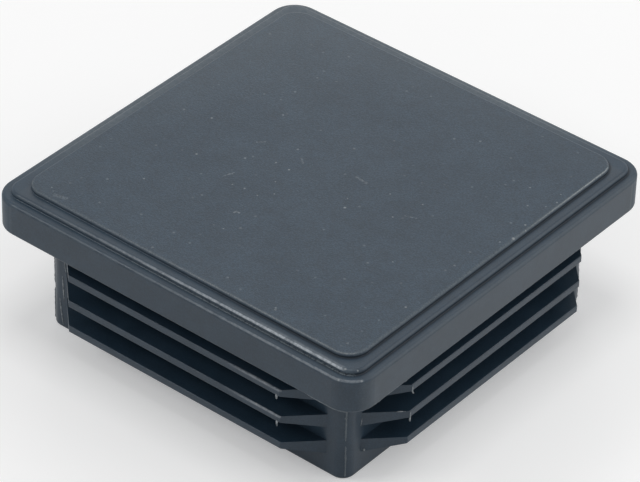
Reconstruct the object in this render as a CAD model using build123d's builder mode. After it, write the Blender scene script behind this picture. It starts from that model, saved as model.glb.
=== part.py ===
from build123d import *
import os

os.makedirs("parts", exist_ok=True)

# End cap for a square tube: one moulding with a stepped head and a hollow
# ribbed plug below it. The origin is the centre of the plug's open rim, the
# plug rises along +Z, and the head is on top.

# Tube that the cap closes: the head covers its sawn end
tube_side = 80.0
tube_wall = 2.0

# Head: a square slab with two low levels raised on it. Each upper edge has a
# soft rounding, and a tight cove runs round the foot of each level
head_corner_radius = 5.0
slab_height = 6.4
slab_rounding = 0.6
slab_underside_rounding = 0.3
lower_ledge_width = 1.75
middle_height = 0.9
middle_corner_radius = 3.0
middle_rounding = 0.6
middle_cove = 0.15
middle_ledge_width = 2.1
pad_height = 0.8
pad_corner_radius = 3.9
pad_rounding = 0.55
pad_cove = 0.12

# Plug: a square box with thin walls, open at the bottom
plug_depth = 21.5
core_corner_radius = 2.4
core_wall = 2.5
core_rim_rounding = 0.4
head_skin = 3.0
cavity_corner_radius = 1.2

# Fins: three barbed rows on each side, flat above and sloping below, whose
# edges bite on the tube's inner wall
fin_rows = 3
fin_bite = 0.75
fin_projection = 5.75
fin_taper_per_row = 0.12
first_fin_drop = 3.4
fin_pitch = 5.55
fin_root_thickness = 2.7
fin_edge_thickness = 1.35
fin_edge_rounding = 0.2
fin_corner_gap = 4.0

# Sizes that follow from the ones above
head_side = tube_side
middle_side = head_side - 2 * lower_ledge_width
pad_side = middle_side - 2 * middle_ledge_width
seat_z = plug_depth
slab_top_z = seat_z + slab_height
middle_top_z = slab_top_z + middle_height
head_top_z = middle_top_z + pad_height
fin_reach = tube_side / 2 - tube_wall + fin_bite
core_half = fin_reach - fin_projection
core_side = 2 * core_half
cavity_side = core_side - 2 * core_wall
cavity_depth = head_top_z - head_skin
fin_embed = core_wall / 2
fin_inner_x = core_half - fin_embed
fin_end_apex = 2 * core_half - fin_corner_gap
fin_half_length = fin_end_apex - fin_inner_x


# One side's fins, standing out along +X: each row's section is run along the
# side, and upright planes at 45 degrees then trim all the ends
with BuildPart() as side_fins:
    for row in range(fin_rows):
        fin_top_z = seat_z - first_fin_drop - row * fin_pitch
        fin_root_z = fin_top_z - fin_root_thickness
        edge_x = fin_reach - row * fin_taper_per_row
        with BuildSketch(Plane.XZ) as fin_section:
            with BuildLine():
                Polyline(
                    (fin_inner_x, fin_top_z),
                    (edge_x, fin_top_z),
                    (edge_x, fin_top_z - fin_edge_thickness),
                    (core_half, fin_root_z),
                    (fin_inner_x, fin_root_z),
                    close=True,
                )
            make_face()
            fillet(fin_section.vertices().group_by(Axis.X)[-1], fin_edge_rounding)
        extrude(amount=fin_half_length, both=True)
    with BuildSketch(Plane.XY):
        Polygon(
            (fin_inner_x, -fin_half_length),
            (fin_end_apex, 0),
            (fin_inner_x, fin_half_length),
            align=None,
        )
    extrude(amount=seat_z, mode=Mode.INTERSECT)


with BuildPart() as end_cap:
    # Head: each level rises from the one below, with its foot and its upper
    # edge rounded; the slab's foot is the edge of the head's underside
    for level_side, corner_radius, bottom_z, level_height, foot_rounding, edge_rounding in (
        (head_side, head_corner_radius, seat_z, slab_height, slab_underside_rounding, slab_rounding),
        (middle_side, middle_corner_radius, slab_top_z, middle_height, middle_cove, middle_rounding),
        (pad_side, pad_corner_radius, middle_top_z, pad_height, pad_cove, pad_rounding),
    ):
        with BuildSketch(Plane.XY.offset(bottom_z)):
            RectangleRounded(level_side, level_side, corner_radius)
        extrude(amount=level_height)
        fillet(end_cap.edges(Select.LAST).group_by(Axis.Z)[0], foot_rounding)
        fillet(end_cap.faces().sort_by(Axis.Z)[-1].edges(), edge_rounding)

    # Plug walls, with the outer edge of the open rim eased
    with BuildSketch(Plane.XY):
        RectangleRounded(core_side, core_side, core_corner_radius)
    extrude(amount=seat_z)
    fillet(end_cap.faces().sort_by(Axis.Z)[0].edges(), core_rim_rounding)

    # Fins on the four sides
    with PolarLocations(0, 4):
        add(side_fins.part)

    # Hollow, open at the rim and closed by the head's skin
    with BuildSketch(Plane.XY):
        RectangleRounded(cavity_side, cavity_side, cavity_corner_radius)
    extrude(amount=cavity_depth, mode=Mode.SUBTRACT)

end_cap.part.label = "end_cap"
export_step(end_cap.part, "parts/end_cap.step")
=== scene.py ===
import math
import random

import bmesh
import bpy
from mathutils import Matrix, Vector


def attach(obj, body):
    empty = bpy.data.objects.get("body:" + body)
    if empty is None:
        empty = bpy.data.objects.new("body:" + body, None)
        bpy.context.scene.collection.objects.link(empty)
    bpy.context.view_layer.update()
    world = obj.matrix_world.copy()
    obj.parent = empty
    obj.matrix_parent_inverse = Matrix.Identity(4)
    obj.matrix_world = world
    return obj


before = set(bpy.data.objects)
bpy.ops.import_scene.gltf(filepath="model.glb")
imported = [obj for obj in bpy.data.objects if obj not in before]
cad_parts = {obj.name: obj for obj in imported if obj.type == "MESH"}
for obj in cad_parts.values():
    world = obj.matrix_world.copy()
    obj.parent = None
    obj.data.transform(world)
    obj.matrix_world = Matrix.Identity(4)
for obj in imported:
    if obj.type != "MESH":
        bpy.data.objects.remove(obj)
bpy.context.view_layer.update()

MM = 0.001
CAP = "end_cap"
SLOT = "cap_plastic"

# Heights and half sides of the moulding, from the open rim up
SEAT_Z = 21.5 * MM
SLAB_TOP_Z = 27.9 * MM
MIDDLE_TOP_Z = 28.8 * MM
HEAD_TOP_Z = 29.6 * MM
PAD_HALF = 36.15 * MM
PAD_CORNER = 3.9 * MM
MIDDLE_HALF = 38.25 * MM
MIDDLE_CORNER = 3.0 * MM
SLAB_HALF = 40.0 * MM
SLAB_CORNER = 5.0 * MM
CORE_HALF = 33.0 * MM
CORE_CORNER = 2.4 * MM

# The two upper rows of fins, whose ends by the front corner lie on the plane
# x - y = FIN_END_APEX
FIN_TOP_Z = (18.1 * MM, 12.55 * MM)
FIN_EDGE_X = (38.75 * MM, 38.63 * MM)
FIN_EDGE_THICKNESS = 1.35 * MM
FIN_END_APEX = 62.0 * MM

# Camera, aimed at the middle of the head's underside
CAMERA_AZIMUTH = math.radians(38.42)
CAMERA_ELEVATION = math.radians(37.06)
CAMERA_ROLL = math.radians(1.82)
CAMERA_DISTANCE = 0.6985
CAMERA_SHIFT_RIGHT = -0.00013
CAMERA_SHIFT_UP = -0.00514
CAMERA_LENS = 229.0
CAMERA_SENSOR = 36.0

# Stage: the floor just under the rim, the world's fill, and each lamp's
# name, place, side and level
FLOOR_SIDE = 6.0
FLOOR_Z = -0.02 * MM
FLOOR_GREY = (0.82, 0.82, 0.82, 1.0)
FLOOR_GLOW = 0.3
WHITE = (1.0, 1.0, 1.0, 1.0)
WORLD_FILL = 0.40
LAMPS = (
    ("overhead", (0.0, 0.0, 1.0), 0.40, 0.20),
    ("right_softbox", (0.36, 0.37, 0.32), 0.60, 0.30),
    ("back_softbox", (-0.35, 0.44, 0.22), 0.22, 0.07),
    ("left_lamp", (-0.27, -0.32, 0.36), 0.14, 0.14),
)

# Colours: the plastic as moulded and in its darker clouds, scuffed, rubbed and
# painted sheen, painted highlight, torn pale, painted shade, then dust and painted glints
PLASTIC = (0.025, 0.046, 0.070, 1.0)
PLASTIC_DARK = (0.020, 0.039, 0.061, 1.0)
PLASTIC_SCUFFED = (0.075, 0.100, 0.120, 1.0)
# Rubbed plastic, also used for painted sheen and painted light
PLASTIC_RUBBED_AND_SHEEN = (0.105, 0.130, 0.150, 1.0)
# Painted highlight
PLASTIC_HIGHLIGHT = (0.40, 0.44, 0.48, 1.0)
PLASTIC_PALE = (0.33, 0.36, 0.38, 1.0)
# Painted shade for the risers' feet
PAINTED_FOOT_SHADE = (0.006, 0.011, 0.018, 1.0)
# Dust, also the colour of the painted glints
DUST_AND_GLINT = (0.42, 0.45, 0.46, 1.0)

# Sizes of the patterns in the plastic, and how high its grain stands
FINE_GRAIN_SIZE = 0.14 * MM
SPECKLE_SIZE = 0.30 * MM
GRAIN_SIZE = 0.32 * MM
FLASH_PATCH_SIZE = 0.5 * MM
MOTTLE_SIZE = 0.55 * MM
PATCH_SIZE = 1.7 * MM
BLOTCH_SIZE = 3.2 * MM
SCATTER_SPACING = 3.7 * MM
CLOUD_SIZE = 9.0 * MM
GRAIN_HEIGHT = 0.05 * MM

# How fully each kind of mark covers the plastic
SPECK_STRENGTH_PER_MM = 3.0
# Strength of the painted glints
GLINT_STRENGTH = 0.7
DUST_AND_GLINT_STRENGTH = 0.75
# Painted shade at the risers' feet: its strength, and what is left of it on the lit riser
FOOT_SHADE_STRENGTH = 0.9
FOOT_SHADE_ON_LIT_RISER = 0.1
FOOT_LINE_STRENGTH = 0.85
# Strengths of the painted highlight on the middle lip, the slab's edge and the fins' edges
MIDDLE_LIP_STRENGTH = 0.36
SLAB_HIGHLIGHT_STRENGTH = 0.3
FIN_HIGHLIGHT_STRENGTH = 0.5

# Specks that can be told apart on the pad: place and radius in mm
SPECKS = (
    (9.2, -5.1, 0.21),
    (7.9, -2.8, 0.12),
    (-7.8, -2.9, 0.16),
    (-4.3, -7.2, 0.13),
    (-2.2, -10.0, 0.14),
    (-7.0, -12.1, 0.16),
    (-11.3, -10.3, 0.13),
    (-9.3, -12.6, 0.14),
    (-2.3, -23.1, 0.14),
    (-21.6, -21.3, 0.16),
    (16.9, -1.8, 0.15),
    (12.5, 3.0, 0.14),
    (18.5, 4.3, 0.14),
    (-24.6, -0.2, 0.18),
    (-15.9, 8.7, 0.16),
    (-19.6, -10.0, 0.18),
    (-12.6, -5.4, 0.17),
    (-4.8, -3.0, 0.18),
    (-4.1, -12.2, 0.14),
    (24.7, -11.5, 0.14),
    (18.1, -33.8, 0.16),
    (33.9, -19.6, 0.18),
    (35.8, 6.9, 0.27),
    (34.7, 4.6, 0.15),
    (35.0, 11.2, 0.18),
    (36.0, 10.1, 0.21),
    (34.5, 17.6, 0.13),
    (32.0, 15.8, 0.15),
    (29.2, 20.2, 0.15),
    (35.2, 19.8, 0.16),
    (34.3, 22.1, 0.13),
    (-31.6, -33.5, 0.14),
    (-30.7, -34.1, 0.12),
)

# Bright spots on the edges by the front corner, painted glints: place and radius in mm
EDGE_GLINTS = (
    (36.0, -37.75, 28.72, 0.20),
    (37.7, -36.66, 28.63, 0.15),
    (36.2, -39.66, 27.73, 0.17),
    (39.18, -37.42, 27.73, 0.17),
    (18.3, -38.6, 12.45, 0.22),
)

# Short fibres, scratches and smudges on the pad: two ends and half width in
# mm, and strength
STREAKS = (
    (-29.7, -34.7, -27.7, -34.3, 0.60, 0.22),
    (18.3, -0.2, 20.1, 0.6, 0.25, 0.30),
    (5.2, 3.0, 7.5, 2.7, 0.35, 0.30),
    (-11.9, -11.6, -11.3, -9.9, 0.25, 0.30),
    (-3.9, -18.5, -3.8, -18.0, 0.25, 0.40),
    (-3.8, -18.0, -3.2, -18.0, 0.25, 0.40),
    (-5.4, 1.0, -4.3, 0.1, 0.30, 0.25),
    (-14.1, -0.5, -13.1, 0.5, 0.30, 0.20),
)

# Corner flash in mm: its two runs up each corner of the plug, and the drop
# that hangs in it at the front corner
CORNER_FLASH_RUNS = ((0.5, 7.1), (8.2, 21.2))
CORNER_FLASH_STEP = 0.4
CORNER_FLASH_RADII = (0.10, 0.16)
CORNER_FLASH_END_RADIUS = 0.05
DROP_HEIGHT = 13.1
DROP_STEPS = (-0.35, -0.15, 0.1, 0.3)
DROP_RADII = (0.08, 0.22, 0.2, 0.07)

# Fin burrs in mm: for each of the two upper rows, how far its whiskers hang
# and how far the right one leans, and the crumb on the edge of the second
# row's slanted end
WHISKER_HANGS = (0.75, 0.95)
WHISKER_LEANS = (0.42, 0.05)
EDGE_CRUMB = ((37.0, -25.02, 12.5), (37.5, -24.53, 12.57), (38.1, -23.93, 12.54))
EDGE_CRUMB_RADII = (0.05, 0.12, 0.05)

# Flange flash in mm, but for the turns in degrees: its line along the near
# left side and into the corner, and its crumbs along the near right side
FLANGE_FLASH_INSET = 0.08
FLANGE_FLASH_LIFT = 0.1
FLANGE_LINE_ACROSS = (30.0, 30.9, 31.8, 32.7, 33.6)
FLANGE_LINE_TURNS = range(-90, -50, 6)
FLANGE_LINE_RADII = (0.08, 0.13)
FLANGE_LINE_END_RADIUS = 0.03
FLANGE_CRUMBS_START = -36.5
FLANGE_CRUMBS_END = -27.0

# Plug marks in mm: torn flash on the near left side (across, height), a scuff
# on the near right side (across, height) and a crumb on the third fin's end
TORN_FLASH = (
    ((-29.42, 14.9), (-29.25, 13.6), (-29.1, 12.3)),
    ((-29.93, 11.2), (-29.8, 9.6), (-29.7, 7.8), (-29.6, 6.0)),
    ((-30.6, 6.2), (-30.4, 4.4), (-30.1, 2.0), (-29.9, 0.6)),
)
TORN_FLASH_RADIUS = 0.13
TORN_FLASH_END_RADIUS = 0.05
SCUFF = ((-29.2, 9.9), (-29.05, 10.6), (-28.9, 11.5))
SCUFF_RADII = (0.05, 0.1, 0.05)
END_CRUMB_PLACE = (33.42, -28.58)
END_CRUMB_HEIGHTS = (4.45, 4.58, 4.78, 4.90)
END_CRUMB_RADII = (0.08, 0.2, 0.2, 0.08)

RIDGE_SIDES = 8


class Graph:
    """Short ways to add and join shader nodes in one tree."""

    def __init__(self, tree):
        self.tree = tree

    def add(self, kind, **settings):
        node = self.tree.nodes.new(kind)
        for name, value in settings.items():
            setattr(node, name, value)
        return node

    def join(self, value, socket):
        """Links the value where it is a socket, and sets it where it is a constant."""
        if isinstance(value, bpy.types.NodeSocket):
            self.tree.links.new(value, socket)
        else:
            socket.default_value = value

    def math(self, operation, *values):
        node = self.add("ShaderNodeMath", operation=operation)
        for value, socket in zip(values, node.inputs):
            self.join(value, socket)
        return node.outputs[0]

    def vector(self, operation, *values, output=0):
        node = self.add("ShaderNodeVectorMath", operation=operation)
        for value, socket in zip(values, node.inputs):
            self.join(value, socket)
        return node.outputs[output]

    def combine(self, *values):
        node = self.add("ShaderNodeCombineXYZ")
        for value, socket in zip(values, node.inputs):
            self.join(value, socket)
        return node.outputs[0]

    def split(self, value):
        node = self.add("ShaderNodeSeparateXYZ")
        self.join(value, node.inputs[0])
        return node.outputs

    def scale(self, vector, factor):
        node = self.add("ShaderNodeVectorMath", operation="SCALE")
        self.join(vector, node.inputs[0])
        self.join(factor, node.inputs["Scale"])
        return node.outputs[0]

    def largest(self, *values):
        result = values[0]
        for value in values[1:]:
            result = self.math("MAXIMUM", result, value)
        return result

    def product(self, *values):
        result = values[0]
        for value in values[1:]:
            result = self.math("MULTIPLY", result, value)
        return result

    def fade(self, value, none_at, full_at, low=0.0, high=1.0):
        """A smooth change from low to high between two values of the input."""
        node = self.add("ShaderNodeMapRange", interpolation_type="SMOOTHSTEP", clamp=True)
        self.join(value, node.inputs["Value"])
        self.join(none_at, node.inputs["From Min"])
        self.join(full_at, node.inputs["From Max"])
        self.join(low, node.inputs["To Min"])
        self.join(high, node.inputs["To Max"])
        return node.outputs["Result"]

    def band(self, value, none_below, full_from, full_to, none_above):
        """1 between two values of the input, with a smooth fade on either side."""
        return self.product(
            self.fade(value, none_below, full_from), self.fade(value, none_above, full_to),
        )

    def noise(self, place, size, detail=2.0, roughness=0.5):
        """Noise whose features are about the given size in metres."""
        node = self.add("ShaderNodeTexNoise")
        self.join(place, node.inputs["Vector"])
        node.inputs["Scale"].default_value = 1.0 / size
        node.inputs["Detail"].default_value = detail
        node.inputs["Roughness"].default_value = roughness
        return node.outputs["Fac"]

    def cells(self, place, size):
        """Points scattered over the plan: the distance to the nearest and its chance value."""
        node = self.add("ShaderNodeTexVoronoi", voronoi_dimensions="2D")
        self.join(place, node.inputs["Vector"])
        node.inputs["Scale"].default_value = 1.0 / size
        return node.outputs["Distance"], self.split(node.outputs["Color"])[0]

    def mix(self, factor, first, second, data_type="RGBA"):
        """The first colour where the factor is 0, and the second where it is 1."""
        node = self.add("ShaderNodeMix", data_type=data_type)
        self.join(factor, node.inputs["Factor"])
        self.join(first, node.inputs["A"])
        self.join(second, node.inputs["B"])
        return node.outputs["Result"]

    def blend(self, factor, first, second):
        """The first number where the factor is 0, and the second where it is 1."""
        return self.mix(factor, first, second, data_type="FLOAT")


class Surface:
    """Where a point of the cap lies, and the patterns and masks that its marks share.

    The front corner is toward +X and -Y: the near left side faces -Y, the near
    right side faces +X, and the far sides face +Y and -X.
    """

    def __init__(self, graph):
        self.graph = graph
        self.place = graph.add("ShaderNodeTexCoord").outputs["Object"]
        self.x, self.y, self.z = graph.split(self.place)
        self.up = graph.split(graph.add("ShaderNodeNewGeometry").outputs["Normal"])[2]

        self.pad = graph.fade(self.z, HEAD_TOP_Z - 0.35 * MM, HEAD_TOP_Z - 0.05 * MM)
        self.pad_inset = inset_from_edge(graph, self.x, self.y, PAD_HALF, PAD_CORNER)
        self.middle_inset = inset_from_edge(graph, self.x, self.y, MIDDLE_HALF, MIDDLE_CORNER)
        self.near_left = graph.fade(self.y, -36.9 * MM, -37.5 * MM)
        self.far_reach = graph.math("MAXIMUM", self.y, graph.math("MULTIPLY", self.x, -1.0))
        self.far_sides = graph.fade(self.far_reach, 35.1 * MM, 35.7 * MM)
        tilted = graph.band(self.up, 0.05, 0.35, 0.9, 0.995)
        self.slab_edge, self.middle_edge, self.pad_edge = [
            graph.product(tilted, graph.band(
                self.z, top - 0.62 * MM, top - 0.5 * MM, top + 0.02 * MM, top + 0.1 * MM,
            ))
            for top in (SLAB_TOP_Z, MIDDLE_TOP_Z, HEAD_TOP_Z)
        ]

        self.grain = graph.noise(self.place, GRAIN_SIZE, 3.0, 0.65)
        self.fine_grain = graph.noise(self.place, FINE_GRAIN_SIZE, 1.0)
        self.cloud = graph.noise(self.place, CLOUD_SIZE, 3.0, 0.55)
        self.patch = graph.noise(self.place, PATCH_SIZE)
        self.mottle = graph.noise(self.place, MOTTLE_SIZE)
        self.speckle = graph.noise(self.place, SPECKLE_SIZE, 1.0)
        self.blotch = graph.noise(self.place, BLOTCH_SIZE)


def new_material(name):
    """A material with a Principled shader, its node helper and its shader."""
    material = bpy.data.materials.new(name)
    material.use_nodes = True
    tree = material.node_tree
    return material, Graph(tree), tree.nodes["Principled BSDF"]


def inset_from_edge(graph, x, y, half, corner):
    """How far inside a rounded square a point lies; negative outside."""
    over_x = graph.math("SUBTRACT", graph.math("ABSOLUTE", x), half - corner)
    over_y = graph.math("SUBTRACT", graph.math("ABSOLUTE", y), half - corner)
    beyond = graph.combine(
        graph.math("MAXIMUM", over_x, 0.0), graph.math("MAXIMUM", over_y, 0.0), 0.0,
    )
    outside = graph.vector("LENGTH", beyond, output=1)
    within = graph.math("MINIMUM", graph.math("MAXIMUM", over_x, over_y), 0.0)
    return graph.math("SUBTRACT", corner, graph.math("ADD", outside, within))


def foot_mask(graph, inset, z, level_z):
    """The strip where a riser meets the ledge below it."""
    return graph.product(
        graph.fade(inset, -0.6 * MM, -0.05 * MM),
        graph.band(
            z, level_z - 0.15 * MM, level_z - 0.03 * MM, level_z + 0.12 * MM, level_z + 0.5 * MM,
        ),
    )


def speck_mask(graph, place, centre, radius):
    """A soft spot about a point in metres; the radius is in mm."""
    distance = graph.vector("DISTANCE", place, centre, output=1)
    return graph.fade(distance, 1.6 * radius * MM, 0.2 * radius * MM)


def streak_mask(graph, place, start_x, start_y, end_x, end_y, half_width, strength):
    """A stroke between two points of the pad, fading at its sides and ends."""
    start = Vector((start_x * MM, start_y * MM, HEAD_TOP_Z))
    along = Vector((end_x * MM, end_y * MM, HEAD_TOP_Z)) - start
    offset = graph.vector("SUBTRACT", place, tuple(start))
    reach = graph.vector("DOT_PRODUCT", offset, tuple(along), output=1)
    share = graph.math("DIVIDE", reach, along.length_squared)
    nearest = graph.scale(tuple(along), graph.fade(share, 0.0, 1.0))
    distance = graph.vector("DISTANCE", offset, nearest, output=1)
    return graph.product(
        graph.fade(distance, half_width * MM, 0.3 * half_width * MM), strength,
    )


def wear_and_sheen_mask(surface):
    """Wear on the near edges and the pad's rim; painted sheen toward the back and on the far
    sides; painted light on the near right side.
    """
    graph = surface.graph
    near_sides = graph.math("SUBTRACT", 1.0, surface.far_sides)
    edge_wear = graph.product(
        graph.largest(surface.slab_edge, surface.middle_edge, surface.pad_edge),
        near_sides,
        graph.fade(surface.patch, 0.38, 0.62),
        graph.fade(surface.x, 36.5 * MM, 37.5 * MM, 0.25, 0.05),
    )
    rim_wear = graph.product(
        surface.pad,
        near_sides,
        graph.fade(surface.pad_inset, 0.7 * MM, 0.25 * MM),
        graph.fade(surface.grain, 0.35, 0.62, 0.2, 0.8),
    )
    toward_back = graph.math("SUBTRACT", surface.y, surface.x)
    # Painted sheen, lighter toward the back of the pad
    pad_sheen = graph.product(surface.pad, graph.math(
        "ADD",
        graph.fade(toward_back, 15.0 * MM, 62.0 * MM, 0.0, 0.15),
        graph.fade(surface.far_reach, 24.0 * MM, 36.0 * MM, 0.0, 0.08),
    ))
    # Painted sheen on the far sides, mottled
    far_sheen = graph.product(
        surface.far_sides,
        graph.fade(toward_back, 1.0 * MM, 24.0 * MM),
        graph.fade(surface.up, 0.4, 0.8),
        graph.fade(surface.mottle, 0.35, 0.65, 0.42, 0.68),
        graph.fade(surface.z, SEAT_Z, SEAT_Z + 1.0 * MM),
        graph.fade(surface.z, MIDDLE_TOP_Z + 0.1 * MM, MIDDLE_TOP_Z + 0.5 * MM, 1.0, 0.15),
        graph.fade(surface.far_reach, 36.2 * MM, 38.2 * MM, 0.7, 1.0),
    )
    # Painted light on the near right side's face
    right_side_light = graph.product(
        graph.fade(surface.x, 38.9 * MM, 39.5 * MM),
        graph.fade(surface.patch, 0.3, 0.7, 0.10, 0.20),
    )
    return graph.largest(edge_wear, rim_wear, pad_sheen, far_sheen, right_side_light)


def edge_highlight_mask(surface):
    """Painted highlight on the near left side's edges, more and more toward the front corner.

    It lies on the middle level's edge and the flat lip beside it, on the
    slab's edge below, and close to the corner on the upper fins' edges.
    """
    graph = surface.graph
    crest = graph.band(surface.up, 0.42, 0.58, 0.93, 0.99)
    broken = graph.product(
        graph.fade(surface.mottle, 0.36, 0.56, 0.6, 1.0),
        graph.fade(surface.patch, 0.35, 0.5, 0.6, 1.0),
    )
    before_corner = graph.fade(surface.x, 36.3 * MM, 35.2 * MM)
    middle_highlight = graph.product(
        surface.middle_edge,
        crest,
        surface.near_left,
        graph.fade(surface.x, -32.0 * MM, 30.0 * MM),
        before_corner,
        broken,
    )
    middle_lip = graph.product(
        graph.fade(surface.y, -37.15 * MM, -37.9 * MM),
        graph.fade(surface.up, 0.88, 0.95),
        graph.band(
            surface.z,
            MIDDLE_TOP_Z - 0.2 * MM, MIDDLE_TOP_Z - 0.1 * MM,
            MIDDLE_TOP_Z + 0.02 * MM, MIDDLE_TOP_Z + 0.1 * MM,
        ),
        graph.fade(surface.x, 6.0 * MM, 26.0 * MM),
        before_corner,
        broken,
        MIDDLE_LIP_STRENGTH,
    )
    slab_highlight = graph.product(
        surface.slab_edge,
        crest,
        surface.near_left,
        graph.fade(surface.x, -20.0 * MM, 36.0 * MM),
        broken,
        SLAB_HIGHLIGHT_STRENGTH,
    )
    fin_edges = graph.largest(*[
        graph.band(surface.z, top - 0.5 * MM, top - 0.25 * MM, top + 0.02 * MM, top + 0.1 * MM)
        for top in FIN_TOP_Z
    ])
    fin_highlight = graph.product(
        fin_edges,
        graph.fade(surface.y, -38.4 * MM, -38.5 * MM),
        graph.fade(surface.x, 10.0 * MM, 19.0 * MM),
        broken,
        FIN_HIGHLIGHT_STRENGTH,
    )
    return graph.largest(middle_highlight, middle_lip, slab_highlight, fin_highlight)


def foot_shade_mask(surface):
    """Painted shade at the risers' feet, most at the front and on the near right side.

    It is mostly left off the lower riser along the near left side, where that riser shows lit.
    """
    graph = surface.graph
    lit_riser = graph.product(
        surface.near_left,
        graph.fade(surface.middle_inset, -0.15 * MM, -0.05 * MM),
        graph.fade(surface.z, SLAB_TOP_Z + 0.05 * MM, SLAB_TOP_Z + 0.18 * MM),
        graph.band(surface.x, -12.0 * MM, 6.0 * MM, 34.0 * MM, 36.0 * MM),
    )
    return graph.product(
        graph.largest(
            foot_mask(graph, surface.middle_inset, surface.z, SLAB_TOP_Z),
            foot_mask(graph, surface.pad_inset, surface.z, MIDDLE_TOP_Z),
        ),
        graph.fade(surface.x, -20.0 * MM, 30.0 * MM),
        graph.fade(lit_riser, 0.0, 1.0, FOOT_SHADE_STRENGTH, FOOT_SHADE_ON_LIT_RISER),
    )


def foot_line_mask(surface):
    """A broken lighter line at the lower riser's foot along the near left side."""
    graph = surface.graph
    return graph.product(
        graph.fade(surface.middle_inset, -0.28 * MM, -0.14 * MM),
        graph.band(
            surface.z,
            SLAB_TOP_Z - 0.15 * MM, SLAB_TOP_Z - 0.03 * MM,
            SLAB_TOP_Z + 0.3 * MM, SLAB_TOP_Z + 0.45 * MM,
        ),
        surface.near_left,
        graph.fade(surface.x, -32.0 * MM, 16.0 * MM),
        graph.fade(surface.grain, 0.38, 0.56),
        FOOT_LINE_STRENGTH,
    )


def dust_and_glint_mask(surface):
    """Specks, painted glints and fibres, a finer scatter, and a chalky line on the pad's near
    edges.
    """
    graph = surface.graph
    place = surface.place
    distance, chosen = graph.cells(place, SCATTER_SPACING)
    scatter = graph.product(
        surface.pad,
        graph.fade(distance, 0.09, 0.02),
        graph.fade(chosen, 0.62, 0.95),
        graph.fade(surface.cloud, 0.4, 0.6, 0.08, 0.25),
    )
    right_chalk = graph.product(
        graph.fade(surface.x, 35.5 * MM, 35.65 * MM),
        graph.fade(surface.y, 2.0 * MM, 30.0 * MM, 0.0, 0.75),
    )
    left_chalk = graph.product(
        graph.fade(surface.y, -33.5 * MM, -34.8 * MM),
        graph.fade(surface.x, -36.0 * MM, 20.0 * MM, 0.05, 0.35),
    )
    chalk_line = graph.product(
        surface.pad_edge,
        graph.largest(right_chalk, left_chalk),
        graph.band(surface.up, 0.6, 0.75, 0.9, 0.97),
        graph.fade(surface.fine_grain, 0.36, 0.56, 0.15, 1.0),
    )
    specks = [
        graph.product(
            speck_mask(graph, place, (across * MM, along * MM, HEAD_TOP_Z), radius),
            SPECK_STRENGTH_PER_MM * radius,
        )
        for across, along, radius in SPECKS
    ]
    # Painted glints on the edges
    glints = [
        graph.product(
            speck_mask(graph, place, (across * MM, along * MM, height * MM), radius),
            GLINT_STRENGTH,
        )
        for across, along, height, radius in EDGE_GLINTS
    ]
    ragged = graph.fade(surface.grain, 0.38, 0.6, 0.15, 1.0)
    streaks = [graph.product(streak_mask(graph, place, *streak), ragged) for streak in STREAKS]
    return graph.largest(*specks, *glints, *streaks, scatter, chalk_line)


def bare_shade(surface):
    """The plastic's own colour: clouds, worn grain, and a mottle that is stronger on the pad."""
    graph = surface.graph
    shade = graph.mix(graph.fade(surface.cloud, 0.3, 0.7), PLASTIC_DARK, PLASTIC)
    worn_grain = graph.product(graph.fade(surface.grain, 0.55, 0.8), 0.25)
    shade = graph.mix(worn_grain, shade, PLASTIC_RUBBED_AND_SHEEN)
    fine_contrast = graph.blend(
        surface.pad,
        graph.fade(surface.speckle, 0.3, 0.7, 0.9, 1.1),
        graph.fade(surface.speckle, 0.3, 0.7, 0.8, 1.2),
    )
    broad_contrast = graph.fade(surface.blotch, 0.3, 0.7, 0.93, 1.07)
    return graph.scale(shade, graph.product(fine_contrast, broad_contrast))


def plastic():
    """Anthracite polyethylene: a matt grained pad, and smoother steps and sides."""
    material, graph, shader = new_material(SLOT)
    surface = Surface(graph)
    wear_and_sheen = wear_and_sheen_mask(surface)
    edge_highlight = edge_highlight_mask(surface)
    foot_shade = foot_shade_mask(surface)
    foot_line = foot_line_mask(surface)
    dust_and_glints = dust_and_glint_mask(surface)

    shade = bare_shade(surface)
    # Wear, with painted sheen and painted light
    shade = graph.mix(wear_and_sheen, shade, PLASTIC_RUBBED_AND_SHEEN)
    # Painted highlight along the near left side's edges
    shade = graph.mix(edge_highlight, shade, PLASTIC_HIGHLIGHT)
    # Painted shade at the risers' feet
    shade = graph.mix(foot_shade, shade, PAINTED_FOOT_SHADE)
    # A broken lighter line at the lower riser's foot
    shade = graph.mix(foot_line, shade, PLASTIC_RUBBED_AND_SHEEN)
    # Dust, fibres and painted glints
    shade = graph.mix(graph.product(dust_and_glints, DUST_AND_GLINT_STRENGTH), shade, DUST_AND_GLINT)
    graph.join(shade, shader.inputs["Base Color"])
    shader.inputs["Specular IOR Level"].default_value = 0.4

    smooth_areas = graph.fade(surface.patch, 0.3, 0.7, 0.30, 0.36)
    matt_areas = graph.fade(surface.grain, 0.3, 0.7, 0.44, 0.54)
    roughness = graph.blend(surface.pad, smooth_areas, matt_areas)
    roughness = graph.blend(surface.far_sides, roughness, 0.5)
    # Rougher at the risers' feet, under the painted shade
    roughness = graph.blend(foot_shade, roughness, 0.66)
    graph.join(roughness, shader.inputs["Roughness"])

    relief = graph.math("ADD", surface.grain, graph.product(surface.fine_grain, 0.4))
    bump = graph.add("ShaderNodeBump")
    bump.inputs["Distance"].default_value = GRAIN_HEIGHT
    graph.join(graph.fade(surface.pad, 0.0, 1.0, 0.06, 0.9), bump.inputs["Strength"])
    graph.join(relief, bump.inputs["Height"])
    graph.join(bump.outputs["Normal"], shader.inputs["Normal"])
    return material


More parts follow.
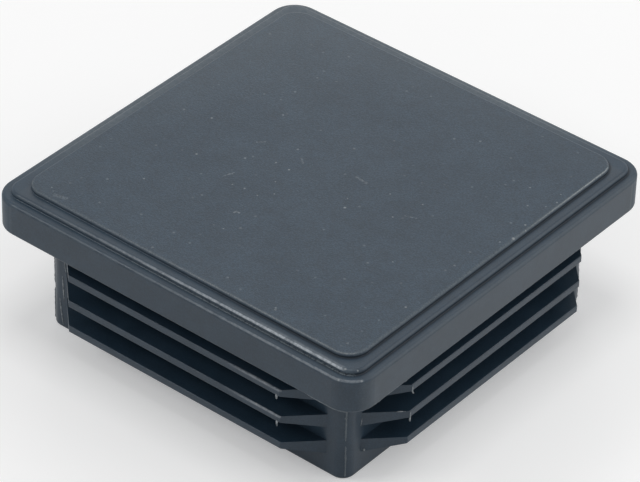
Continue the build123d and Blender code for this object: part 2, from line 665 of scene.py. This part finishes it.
def flash_plastic(name, dark, light):
    """The same plastic where it has squeezed out thin: paler, with a broken sheen."""
    material, graph, shader = new_material(name)
    place = graph.add("ShaderNodeTexCoord").outputs["Object"]
    patch = graph.noise(place, FLASH_PATCH_SIZE)
    shade = graph.mix(graph.fade(patch, 0.35, 0.65), dark, light)
    graph.join(shade, shader.inputs["Base Color"])
    graph.join(graph.fade(patch, 0.3, 0.7, 0.28, 0.45), shader.inputs["Roughness"])
    return material


def in_mm(*values):
    """Lengths in metres, from values in mm."""
    return [value * MM for value in values]


def ridge(mesh, points, radii):
    """Adds a closed tube through the points, with its own radius at each."""
    rings = []
    for number, (point, radius) in enumerate(zip(points, radii)):
        before = points[max(number - 1, 0)]
        after = points[min(number + 1, len(points) - 1)]
        forward = (after - before).normalized()
        across = forward.orthogonal().normalized()
        other = forward.cross(across)
        ring = []
        for side in range(RIDGE_SIDES):
            turn = 2 * math.pi * side / RIDGE_SIDES
            outward = math.cos(turn) * across + math.sin(turn) * other
            ring.append(mesh.verts.new(point + radius * outward))
        rings.append(ring)
    for lower, upper in zip(rings, rings[1:]):
        for side in range(RIDGE_SIDES):
            beside = (side + 1) % RIDGE_SIDES
            mesh.faces.new((lower[side], lower[beside], upper[beside], upper[side]))
    mesh.faces.new(rings[0][::-1])
    mesh.faces.new(rings[-1])


def add_piece(name, mesh, material):
    """Turns a bmesh into a smooth piece of the cap that rides on it."""
    bmesh.ops.recalc_face_normals(mesh, faces=mesh.faces)
    data = bpy.data.meshes.new(name)
    mesh.to_mesh(data)
    mesh.free()
    for face in data.polygons:
        face.use_smooth = True
    data.materials.append(material)
    piece = bpy.data.objects.new(name, data)
    bpy.context.scene.collection.objects.link(piece)
    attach(piece, "root")


def add_corner_flash(material):
    """The thin ridge up each corner of the plug, where the mould's side blocks meet."""
    chance = random.Random(7)
    mesh = bmesh.new()
    reach = (CORE_HALF - CORE_CORNER) + CORE_CORNER * math.sqrt(0.5)
    for sign_x, sign_y in ((1, -1), (1, 1), (-1, 1), (-1, -1)):
        for low, high in CORNER_FLASH_RUNS:
            points = []
            radii = []
            steps = int((high - low) / CORNER_FLASH_STEP)
            for step in range(steps + 1):
                height = low + (high - low) * step / steps
                # In mm, how far round the corner the line lies, less toward the head
                slip = (
                    0.12 - 0.006 * height + 0.02 * math.sin(0.5 * height)
                    + chance.uniform(-0.015, 0.015)
                )
                points.append(Vector((
                    sign_x * (reach + slip * MM), sign_y * (reach - slip * MM), height * MM,
                )))
                if step in (0, steps):
                    radii.append(CORNER_FLASH_END_RADIUS * MM)
                else:
                    radii.append(chance.uniform(*CORNER_FLASH_RADII) * MM)
            ridge(mesh, points, radii)
    drop = Vector((reach, -reach, DROP_HEIGHT * MM))
    ridge(
        mesh,
        [drop + Vector((0, 0, step)) for step in in_mm(*DROP_STEPS)],
        in_mm(*DROP_RADII),
    )
    add_piece("corner_flash", mesh, material)


def add_edge_burrs(material):
    """Whiskers that hang from the fins' ends by the front corner, and a crumb on one end."""
    mesh = bmesh.new()
    rows = zip(FIN_TOP_Z, FIN_EDGE_X, in_mm(*WHISKER_HANGS), in_mm(*WHISKER_LEANS))
    for top, edge, hang, lean in rows:
        end = FIN_END_APEX - edge
        foot = top - FIN_EDGE_THICKNESS
        left = Vector((end - 0.55 * MM, -edge + 0.08 * MM, foot))
        ridge(
            mesh,
            [
                left + Vector((0, 0, 0.25 * MM)),
                left,
                left + Vector((-0.04 * MM, -0.02 * MM, -0.6 * hang)),
                left + Vector((0.02 * MM, -0.03 * MM, -hang)),
            ],
            in_mm(0.2, 0.22, 0.18, 0.10),
        )
        right = Vector((edge - 0.06 * MM, -end + 0.12 * MM, foot))
        ridge(
            mesh,
            [
                right + Vector((0, 0, 0.95 * MM)),
                right,
                right + Vector((0, 0.4 * lean, -0.6 * hang)),
                right + Vector((0, lean, -hang)),
            ],
            in_mm(0.1, 0.17, 0.15, 0.10),
        )
    ridge(mesh, [Vector(in_mm(*point)) for point in EDGE_CRUMB], in_mm(*EDGE_CRUMB_RADII))
    add_piece("fin_burrs", mesh, material)


def add_flange_flash(material):
    """The fine rough line on the head's lower edge, either side of the front corner."""
    chance = random.Random(11)
    mesh = bmesh.new()
    low_z = SEAT_Z + FLANGE_FLASH_LIFT * MM
    edge = SLAB_HALF - FLANGE_FLASH_INSET * MM
    middle = SLAB_HALF - SLAB_CORNER
    radius = SLAB_CORNER - FLANGE_FLASH_INSET * MM

    points = [Vector((across, -edge, low_z)) for across in in_mm(*FLANGE_LINE_ACROSS)]
    for turn in FLANGE_LINE_TURNS:
        angle = math.radians(turn)
        points.append(Vector((
            middle + radius * math.cos(angle), -middle + radius * math.sin(angle), low_z,
        )))
    end_radius = FLANGE_LINE_END_RADIUS * MM
    inner_radii = [chance.uniform(*FLANGE_LINE_RADII) * MM for _ in points[2:]]
    ridge(mesh, points, [end_radius] + inner_radii + [end_radius])

    place = FLANGE_CRUMBS_START
    while place < FLANGE_CRUMBS_END:
        length = chance.uniform(0.5, 1.3)
        if place * MM > -middle:
            across = edge
        else:
            across = middle + math.sqrt(radius ** 2 - (place * MM + middle) ** 2)
        start = Vector((across, place * MM, low_z + chance.uniform(0.0, 0.25) * MM))
        lean = Vector((0, length * MM, chance.uniform(-0.05, 0.15) * MM))
        thick = chance.uniform(0.07, 0.15) * MM
        ridge(mesh, [start, start + 0.4 * lean, start + lean], [0.4 * thick, thick, 0.4 * thick])
        place += length + chance.uniform(0.1, 0.5)
    add_piece("flange_flash", mesh, material)


def add_plug_marks(material):
    """Torn flash by the left corner, a scuff by the front one, and a crumb on a fin's end."""
    mesh = bmesh.new()
    end_radius = TORN_FLASH_END_RADIUS * MM
    for line in TORN_FLASH:
        points = [Vector((across * MM, -CORE_HALF, height * MM)) for across, height in line]
        inner_radii = [TORN_FLASH_RADIUS * MM for _ in points[2:]]
        ridge(mesh, points, [end_radius] + inner_radii + [end_radius])
    ridge(
        mesh,
        [Vector((CORE_HALF, across * MM, height * MM)) for across, height in SCUFF],
        in_mm(*SCUFF_RADII),
    )
    ridge(
        mesh,
        [Vector(in_mm(*END_CRUMB_PLACE, height)) for height in END_CRUMB_HEIGHTS],
        in_mm(*END_CRUMB_RADII),
    )
    add_piece("plug_marks", mesh, material)


def add_camera():
    """The photograph's viewpoint: off one corner, looking down, with a slight roll."""
    towards = Vector((
        math.sin(CAMERA_AZIMUTH) * math.cos(CAMERA_ELEVATION),
        -math.cos(CAMERA_AZIMUTH) * math.cos(CAMERA_ELEVATION),
        math.sin(CAMERA_ELEVATION),
    ))
    level_right = (-towards).cross(Vector((0, 0, 1))).normalized()
    level_up = level_right.cross(-towards)
    cosine = math.cos(CAMERA_ROLL)
    sine = math.sin(CAMERA_ROLL)
    right = cosine * level_right + sine * level_up
    up = cosine * level_up - sine * level_right
    place = Vector((0, 0, SEAT_Z)) + CAMERA_DISTANCE * towards
    place += CAMERA_SHIFT_RIGHT * right + CAMERA_SHIFT_UP * up
    data = bpy.data.cameras.new("photo_camera")
    data.sensor_width = CAMERA_SENSOR
    data.lens = CAMERA_LENS
    camera = bpy.data.objects.new("photo_camera", data)
    turn = Matrix((right, up, towards)).transposed().to_4x4()
    camera.matrix_world = Matrix.Translation(place) @ turn
    bpy.context.scene.collection.objects.link(camera)
    bpy.context.scene.camera = camera


def seen_directly(graph):
    """1 for camera, glossy and transmission rays, 0 for the rest."""
    path = graph.add("ShaderNodeLightPath")
    rays = ("Is Camera Ray", "Is Glossy Ray", "Is Transmission Ray")
    return graph.largest(*[path.outputs[name] for name in rays])


def add_floor():
    """A white table that keeps a soft shadow, lifted a little where it is seen."""
    bpy.ops.mesh.primitive_plane_add(size=FLOOR_SIDE, location=(0, 0, FLOOR_Z))
    floor = bpy.context.object
    floor.name = "floor"
    material, graph, shader = new_material("white_table")
    shader.inputs["Base Color"].default_value = FLOOR_GREY
    shader.inputs["Roughness"].default_value = 0.9
    shader.inputs["Specular IOR Level"].default_value = 0.0
    shader.inputs["Emission Color"].default_value = WHITE
    glow = graph.product(seen_directly(graph), FLOOR_GLOW)
    graph.join(glow, shader.inputs["Emission Strength"])
    floor.data.materials.append(material)


def add_area_lamp(name, place, side, level):
    """A square lamp aimed at the middle of the head's underside.

    Level is the share of full white that it gives a floor square to it.
    """
    data = bpy.data.lights.new(name, "AREA")
    data.shape = "SQUARE"
    data.size = side
    way = Vector((0, 0, SEAT_Z)) - Vector(place)
    data.energy = level * math.pi ** 2 * way.length_squared
    lamp = bpy.data.objects.new(name, data)
    lamp.location = place
    lamp.rotation_euler = way.to_track_quat("-Z", "Y").to_euler()
    bpy.context.scene.collection.objects.link(lamp)


def white_background(graph, strength):
    node = graph.add("ShaderNodeBackground")
    node.inputs["Color"].default_value = WHITE
    node.inputs["Strength"].default_value = strength
    return node.outputs[0]


def light_world():
    """White where the camera or a reflection sees it, and a weak fill elsewhere."""
    world = bpy.data.worlds.new("studio")
    bpy.context.scene.world = world
    world.use_nodes = True
    world.node_tree.nodes.clear()
    graph = Graph(world.node_tree)
    choice = graph.add("ShaderNodeMixShader")
    output = graph.add("ShaderNodeOutputWorld")
    graph.join(seen_directly(graph), choice.inputs[0])
    graph.join(white_background(graph, WORLD_FILL), choice.inputs[1])
    graph.join(white_background(graph, 1.0), choice.inputs[2])
    graph.join(choice.outputs[0], output.inputs["Surface"])


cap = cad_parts[CAP]
cap.data.materials.clear()
cap.data.materials.append(plastic())
flash = flash_plastic("flash_plastic", PLASTIC_SCUFFED, PLASTIC_RUBBED_AND_SHEEN)
pale_flash = flash_plastic("pale_flash_plastic", PLASTIC_RUBBED_AND_SHEEN, PLASTIC_PALE)
add_corner_flash(flash)
add_edge_burrs(pale_flash)
add_flange_flash(flash)
add_plug_marks(pale_flash)

bpy.context.scene.view_settings.view_transform = "Standard"
add_camera()
add_floor()
light_world()
for lamp_settings in LAMPS:
    add_area_lamp(*lamp_settings)
